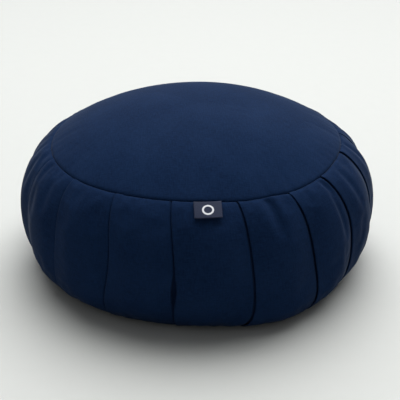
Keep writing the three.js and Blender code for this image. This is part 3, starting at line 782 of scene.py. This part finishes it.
ROUND_COLUMNS = 180
ROUND_ANGLES = np.arange(ROUND_COLUMNS) * 360 / ROUND_COLUMNS
CROWN_SETTLED = 2.0 * MM

# Puckers that the top seam draws into the dome: angle, width (degrees), depth (mm).
DOME_PUCKERS = [(26, 1.1, 1.0), (31, 0.9, 1.0), (36, 1.0, 0.7), (-50, 1.2, 0.5)]


def round_flat(shares, length, columns):
    turn = np.radians(np.arange(columns + 1) * 360 / columns)
    reach = np.asarray(shares)[:, None] * length
    return np.stack([reach * np.sin(turn), -reach * np.cos(turn)], -1)


def build_top(cloth):
    shares = np.concatenate([np.linspace(0, 0.92, 28)[1:], [0.94, 0.957, 0.97, 0.98, 0.988, 0.994, 1.0]])
    share = shares[:, None]
    angle = ROUND_ANGLES[None, :]
    turn = np.radians(angle)
    pinch = 1.7 * MM * np.exp(-(1 - share) / 0.010)
    drawn = sum(depth * bell_at(angle, centre, width) for centre, width, depth in DOME_PUCKERS)
    lift = gathers(angle, (1 - share) * 0.9, 0.32) - pinch - MM * drawn * np.exp(-(1 - share) / 0.07)
    lift = lift + MM * (0.9 * np.sin(2 * turn + 1) + 0.6 * np.sin(3 * turn)) * np.sin(math.pi * share) ** 2
    lift = lift - CROWN_SETTLED * (1 - share ** 2)
    grid = on_form("dome", angle, share, lift)
    crown = (on_form("dome", 0, 0, -CROWN_SETTLED), (0, 0))
    flat = round_flat(shares, LENGTHS["dome"], ROUND_COLUMNS)
    piece = grid_sheet("top_panel_cloth", grid, flat, cloth, True, crown)
    free = np.append((1 - smoothstep(share * np.ones_like(angle), 0.95, 0.99)).ravel(), 1)
    stuff(piece, free, TOP_SWELL)
    smooth_cloth(piece)
    thicken(piece)
    return finish_piece(piece, "cushion", ["top_panel"])


def build_bottom(cloth):
    shares = np.concatenate([[0, 0.008, 0.018], np.linspace(0.032, 0.2, 12), np.linspace(0.26, 0.96, 12)])
    share = shares[:, None]
    angle = ROUND_ANGLES[None, :]
    pinch = 1.4 * MM * np.exp(-share / 0.012) * tucked(angle)
    lift = gathers(angle, share * 1.2, 0.4) * tucked(angle) - pinch
    start = zip_set_back(angle) / LENGTHS["base"]
    grid = on_form("base", angle, start + share * (1 - start), lift)
    grid[..., 2] = np.maximum(grid[..., 2], 0)
    grid = grid[::-1]
    flat = round_flat(1 - shares[::-1], LENGTHS["base"], ROUND_COLUMNS)
    piece = grid_sheet("bottom_panel_cloth", grid, flat, cloth, True, (np.zeros(3), (0, 0)), sense=-1)
    smooth_cloth(piece)
    rest_on_floor(piece)
    thicken(piece)
    return finish_piece(piece, "cushion", ["bottom_panel"])


# ---- rows of stitches and teeth -----------------------------------------------------------------------

THREAD = 0.45 * MM
STITCH_BEND = 3.2 * MM
STITCH_SHOWN = 0.8
# A ring of stitches ends just short of its own first stitch.
FULL_RING = (0, 359.5)


def bent_rod(thickness, bend, degrees, steps=5, sides=6):
    """A round rod bent about the Y axis, made by spinning a disc. The middle of its back is at the origin and
    faces +X."""
    bpy.ops.object.select_all(action="DESELECT")
    bpy.ops.mesh.primitive_circle_add(vertices=sides, radius=thickness / 2, fill_type="NGON",
                                      location=(bend, 0, 0))
    rod = bpy.context.object
    bpy.ops.object.transform_apply(location=True, rotation=True, scale=True)
    bpy.ops.object.mode_set(mode="EDIT")
    bpy.ops.mesh.select_all(action="SELECT")
    bpy.ops.mesh.spin(steps=steps, angle=math.radians(degrees), center=(0, 0, 0), axis=(0, 1, 0))
    bpy.ops.mesh.select_all(action="SELECT")
    bpy.ops.mesh.remove_doubles(threshold=1e-7)
    bpy.ops.mesh.normals_make_consistent(inside=False)
    bpy.ops.object.mode_set(mode="OBJECT")
    centre = sum((v.co for v in rod.data.vertices), Vector()) / len(rod.data.vertices)
    rod.data.transform(Matrix.Rotation(math.atan2(centre.z, centre.x), 4, "Y"))
    rod.data.transform(Matrix.Translation((-bend, 0, 0)))
    return rod


def unit(vectors):
    return vectors / np.linalg.norm(vectors, axis=-1, keepdims=True)


def row_of(name, rod, centres, along, out, material):
    """One mesh with a copy of the rod at each centre, laid along one direction with its back facing out."""
    shape = np.array([v.co for v in rod.data.vertices])
    rod_faces = [tuple(face.vertices) for face in rod.data.polygons]
    bpy.data.objects.remove(rod)
    along = unit(along)
    out = unit(out - (out * along).sum(-1, keepdims=True) * along)
    side = np.cross(along, out)
    points = (centres[:, None] + shape[None, :, :1] * out[:, None] + shape[None, :, 1:2] * side[:, None]
              + shape[None, :, 2:] * along[:, None]).reshape(-1, 3)
    faces = [tuple(c + i * len(shape) for c in face) for i in range(len(centres)) for face in rod_faces]
    return mesh_piece(name, points, faces, material)


def seam_frame(part, angle, share, lift):
    """Centres on the form, the direction round it, the direction down it and the way out, at each angle."""
    centres = on_form(part, angle, share, lift)
    round_it = on_form(part, angle + 0.1, share, lift) - centres
    out = on_form(part, angle, share, lift + MM) - centres
    return centres, unit(round_it), unit(np.cross(round_it, out)), unit(out)


def stitch_ring(name, part, share, lift, first, last, material, replaced, spacing=3.1 * MM):
    """A row of lockstitches round the form, from one angle to another."""
    radius = np.hypot(*on_form(part, 0, share, lift)[:2])
    angle = np.arange(first, last, math.degrees(spacing / radius))
    centres, round_it, _, out = seam_frame(part, angle, share, lift)
    rod = bent_rod(THREAD, STITCH_BEND, math.degrees(spacing * STITCH_SHOWN / STITCH_BEND))
    piece = row_of(name, rod, centres, round_it, out, material)
    return finish_piece(piece, "cushion", replaced)


def stitch_down(name, pleat, replaced, material):
    """The stitches that join the band's two strips, down under a pleat's lap."""
    share = np.linspace(0.04, 0.94, 44)
    angle = fold_angle(pleat, share) + 2.6
    centres, _, down, out = seam_frame("side", angle, share, -3.6 * MM)
    rod = bent_rod(THREAD, STITCH_BEND, 45)
    return finish_piece(row_of(name, rod, centres, down, out, material), "cushion", replaced)


# ---- zip ------------------------------------------------------------------------------------------------

ZIP_FIRST = 180 - ZIP_HALF_ANGLE
ZIP_LAST = 180 + ZIP_HALF_ANGLE
COIL_PITCH = 1.9 * MM
COIL_WIRE = 0.8 * MM
COIL_BEND = 1.35 * MM
COIL_REACH = 2.05 * MM
TOPSTITCH_REACH = 5.8 * MM
TAPE_EDGES = (0.2 * MM, 13.9 * MM)
TAPE_DEPTH = 1.8 * MM
TAPE_CLOTH = 0.5 * MM


def beside_zip(side, reach):
    """The part of the cover above the zip (side 1) or below it (-1), and the place on it at that reach."""
    return ("side", 1 - reach / LENGTHS["side"]) if side > 0 else ("base", reach / LENGTHS["base"])


def build_coil(end, side, material):
    """One half of the zip's coil: a loop every pitch, its back outwards and its ends down in the tape."""
    step = math.degrees(COIL_PITCH / ZIP_SEAM_RADIUS)
    angle = np.arange(ZIP_FIRST + step * (0.5 + 0.25 * side), ZIP_LAST - step * 0.4, step)
    part, place = beside_zip(side, COIL_REACH)
    centres, _, down, out = seam_frame(part, angle, place, 0.2 * MM)
    rod = bent_rod(COIL_WIRE, COIL_BEND, 170, steps=8, sides=8)
    piece = row_of(f"zip_coil_{end}_loops", rod, centres, down, out, material)
    return finish_piece(piece, "cushion", [f"zip_coil_{end}"])


def ribbon(name, part, angles, places, lift, material, replaced, thickness):
    """A strip of tape that follows the form, a set depth under the cloth."""
    grid = on_form(part, np.asarray(angles)[None, :], np.asarray(places)[:, None], lift)
    across = np.linalg.norm(np.diff(grid, axis=1), axis=2).mean(0)
    down = np.linalg.norm(np.diff(grid, axis=0), axis=2).mean(1)
    flat = np.stack(np.broadcast_arrays(np.concatenate([[0], np.cumsum(across)])[None, :],
                                        -np.concatenate([[0], np.cumsum(down)])[:, None]), -1)
    piece = grid_sheet(name, grid, flat, material, ring=False)
    thicken(piece, thickness)
    return finish_piece(piece, "cushion", replaced)


def build_tape(end, side, material):
    angles = np.linspace(ZIP_FIRST - 3, ZIP_LAST + 3, 150)
    part, places = beside_zip(side, np.linspace(*TAPE_EDGES, 8)[::-side])
    return ribbon(f"zip_tape_{end}_woven", part, angles, places, -TAPE_DEPTH, material,
                  [f"zip_tape_{end}"], TAPE_CLOTH)


def build_topstitch(end, side, material):
    part, place = beside_zip(side, TOPSTITCH_REACH)
    return stitch_ring(f"zip_topstitch_{end}", part, place, 0.12 * MM, ZIP_FIRST - 0.6, ZIP_LAST + 0.6,
                       material, [f"zip_thread_{end}"], 3.4 * MM)


def softened(name, source, body, material, width):
    """A copy of a hard part with its edges rounded over, as a casting's are."""
    piece = bpy.data.objects.new(name, frame["nodes"][source].data.copy())
    bpy.context.scene.collection.objects.link(piece)
    piece.data.materials.clear()
    piece.data.materials.append(material)
    weld(piece, flat_within=math.radians(1))
    apply_modifier(piece, "BEVEL", width=width, segments=3, limit_method="ANGLE",
                   angle_limit=math.radians(32))
    apply_modifier(piece, "TRIANGULATE")
    choose(piece)
    bpy.ops.object.shade_smooth_by_angle(angle=math.radians(40))
    return finish_piece(piece, body, [source])


def build_zip(thread):
    coil = nylon_coil()
    tape = woven_cloth("navy_zip_tape_cotton", "#0d1629", "#1a2742", 0.6 * MM)
    metal = enamelled_zinc()
    for end, side in (("upper", 1), ("lower", -1)):
        build_coil(end, side, coil)
        build_tape(end, side, tape)
        build_topstitch(end, side, thread)
        softened(f"zip_top_stop_{end}_pressed", f"zip_top_stop_{end}", "cushion", metal, 0.18 * MM)
    softened("zip_bottom_stop_pressed", "zip_bottom_stop", "cushion", metal, 0.18 * MM)
    softened("zip_slider_cast", "zip_slider", "slider", metal, 0.22 * MM)
    softened("zip_pull_tab_cast", "zip_pull_tab", "pull_tab", metal, 0.25 * MM)


# ---- labels -------------------------------------------------------------------------------------------

LABEL_SLOPE = math.radians(25)
LABEL_TUCK = 2.4 * MM
LABEL_HALF_GAP = 0.42 * MM
LABEL_CLOTH = 0.32 * MM


def build_woven_label():
    """A strip of woven tape folded in half: front leaf, round fold, back leaf. Both ends turn down into the
    seam."""
    joint = next(j for j in frame["joints"] if j["name"] == "label_lift")
    root = Vector(joint["pos_m"])
    across = -Vector(joint["axis"])
    ahead = Vector((across.y, -across.x, 0)).normalized()
    away = ahead * math.cos(LABEL_SLOPE) + Vector((0, 0, -math.sin(LABEL_SLOPE)))
    up = ahead * math.sin(LABEL_SLOPE) + Vector((0, 0, math.cos(LABEL_SLOPE)))
    half_gap = LABEL_HALF_GAP
    sewn = [(-0.2 * depth, -depth) for depth in np.linspace(LABEL_TUCK, 0.3 * MM, 5)]
    along = np.linspace(0.3 * MM, LABEL_LENGTH - half_gap, 16)
    fold = [(LABEL_LENGTH - half_gap + half_gap * math.sin(a), half_gap + half_gap * math.cos(a))
            for a in np.radians([30, 60, 90, 120, 150])]
    front = [(u, rise + 2 * half_gap) for u, rise in sewn] + [(u, 2 * half_gap) for u in along]
    back = [(u, 0.0) for u in along[::-1]] + sewn[::-1]
    path = np.array(front + fold + back)
    travelled = np.concatenate([[0], np.cumsum(np.hypot(*np.diff(path, axis=0).T))]) - LABEL_TUCK
    columns = np.linspace(-0.5, 0.5, 13) * LABEL_WIDTH
    rows = []
    for u, rise in path:
        droop = 0.9 * MM * (max(u, 0) / LABEL_LENGTH) ** 2
        row = []
        for x in columns:
            curve = x * x / (2 * TOP_SEAM_RADIUS)
            flutter = 0.25 * MM * math.sin(x / LABEL_WIDTH * 5 + 0.7) * max(u, 0) / LABEL_LENGTH
            row.append(root + across * x + away * (u - curve) + up * (rise + 0.25 * MM - droop + flutter))
        rows.append(row)
    flat = np.stack(np.broadcast_arrays(columns[None, :], travelled[:, None]), -1)
    piece = grid_sheet("woven_label_loop", np.array(rows), flat, label_satin(), ring=False)
    smooth_cloth(piece)
    thicken(piece, LABEL_CLOTH)
    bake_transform(piece)
    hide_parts("woven_label")


def build_care_label():
    tape = woven_cloth("white_care_label_tape", "#dcd9d0", "#f3f1ea", 0.5 * MM)
    reach = np.linspace(22, 1.9, 10) * MM
    ribbon("care_label_tag", "side", np.linspace(114.4, 124.0, 12), 1 - reach / LENGTHS["side"], -4.2 * MM,
           tape, ["care_label"], 0.35 * MM)


# ---- inner bag and filling ------------------------------------------------------------------------------

BAG_COLUMNS = 96


def build_bag():
    """The inner bag: top, side and bottom of unbleached ticking, slightly gathered at its two seams."""
    ticking = woven_cloth("unbleached_cotton_ticking", "#b9ad94", "#dcd3bf", 0.7 * MM)
    # The thread's second colour is its painted highlight along the ply tops.
    thread = spun_thread("white_polyester_thread", "#d8d5cc", "#f4f2ec")
    angle = np.arange(BAG_COLUMNS)[None, :] * 360 / BAG_COLUMNS
    for part, name, shares in (("dome", "top", np.linspace(0, 1, 24)[1:]),
                               ("side", "side", np.linspace(0, 1, 32)),
                               ("base", "bottom", np.linspace(0.98, 0, 21))):
        share = shares[:, None]
        near = {"dome": 1 - share, "side": np.minimum(share, 1 - share), "base": share}[part]
        grid = on_form(part, angle, share, -BAG_DEPTH + gathers(angle, near, 0.5))
        poles = {"dome": on_form("dome", 0, 0, -BAG_DEPTH), "base": np.array([0, 0, BAG_DEPTH])}
        flat = round_flat(shares if part != "base" else 1 - shares, LENGTHS[part], BAG_COLUMNS)
        if part == "side":
            around = np.arange(BAG_COLUMNS + 1) * math.tau * EQUATOR_RADIUS / BAG_COLUMNS
            flat = np.stack(np.broadcast_arrays(around[None, :], -share * LENGTHS["side"]), -1)
        crown = (poles[part], (0, 0)) if part in poles else None
        sense = -1 if part == "base" else 1
        piece = grid_sheet(f"inner_bag_{name}_ticking", grid, flat, ticking, True, crown, sense)
        thicken(piece)
        finish_piece(piece, "cushion", [f"inner_bag_{name}"])
    for end, place in (("top", 0), ("bottom", 1)):
        stitch_ring(f"inner_{end}_seam_stitches", "side", place, -BAG_DEPTH - 0.9 * MM, *FULL_RING, thread,
                    [f"inner_{end}_seam_thread"], 3.6 * MM)


def build_filling():
    """The heap of hulls that fills the bag: the bag's form, a little lumpy."""
    angle = np.arange(BAG_COLUMNS)[None, :] * 360 / BAG_COLUMNS
    turn = np.radians(angle)
    rows = []
    for part, shares in (("dome", np.linspace(0, 1, 24)[1:]), ("side", np.linspace(0.05, 0.93, 28)),
                         ("base", np.linspace(0.08, 0.97, 16))):
        share = shares[:, None]
        waves = np.sin(37 * turn + 90 * share) + np.sin(53 * turn - 70 * share + 1)
        lumps = 0.25 * MM * waves * np.sin(math.pi * share)
        rows.append(on_form(part, angle, share, -FILLING_DEPTH + lumps))
    foot = np.repeat([[[0, 0, FILLING_DEPTH]]], BAG_COLUMNS, 1)
    grid = np.concatenate(rows + [foot])
    flat = round_flat(np.linspace(0.02, 1, len(grid)), 0.5, BAG_COLUMNS)
    crown = (on_form("dome", 0, 0, -FILLING_DEPTH), (0, 0))
    piece = grid_sheet("hull_filling_heap", grid, flat, dry_hulls(), True, crown)
    weld(piece)
    finish_piece(piece, "cushion", ["hull_filling"])


# ---- build --------------------------------------------------------------------------------------------

add_camera()
add_studio()
cotton = navy_cotton("navy_washed_cotton", "#0b1c36", "#122747", "#1a2f50")
# The thread's second colour is its painted highlight along the ply tops.
navy_thread = spun_thread("navy_polyester_thread", "#0f1c3a", "#1c2f58")
build_top(cotton)
build_strip("side_band_front_cloth", LEFT_JOIN, RIGHT_JOIN, ["side_band_front"], cotton)
build_strip("side_band_back_cloth", RIGHT_JOIN, len(PLEATS), ["side_band_back"], cotton)
build_bottom(cotton)
stitch_ring("top_seam_stitches", "side", 0.0, -2.1 * MM, *FULL_RING, navy_thread, ["top_seam_thread"])
stitch_ring("bottom_seam_stitches", "side", 1.0, -1.3 * MM, ZIP_LAST + 2 - 360, ZIP_FIRST - 2, navy_thread,
            ["bottom_seam_thread"])
stitch_down("side_seam_stitches_right", ROUND_PLEATS[RIGHT_JOIN], ["side_seam_thread_right"], navy_thread)
stitch_down("side_seam_stitches_left", ROUND_PLEATS[LEFT_JOIN], ["side_seam_thread_left"], navy_thread)
build_zip(navy_thread)
build_woven_label()
build_care_label()
build_bag()
build_filling()
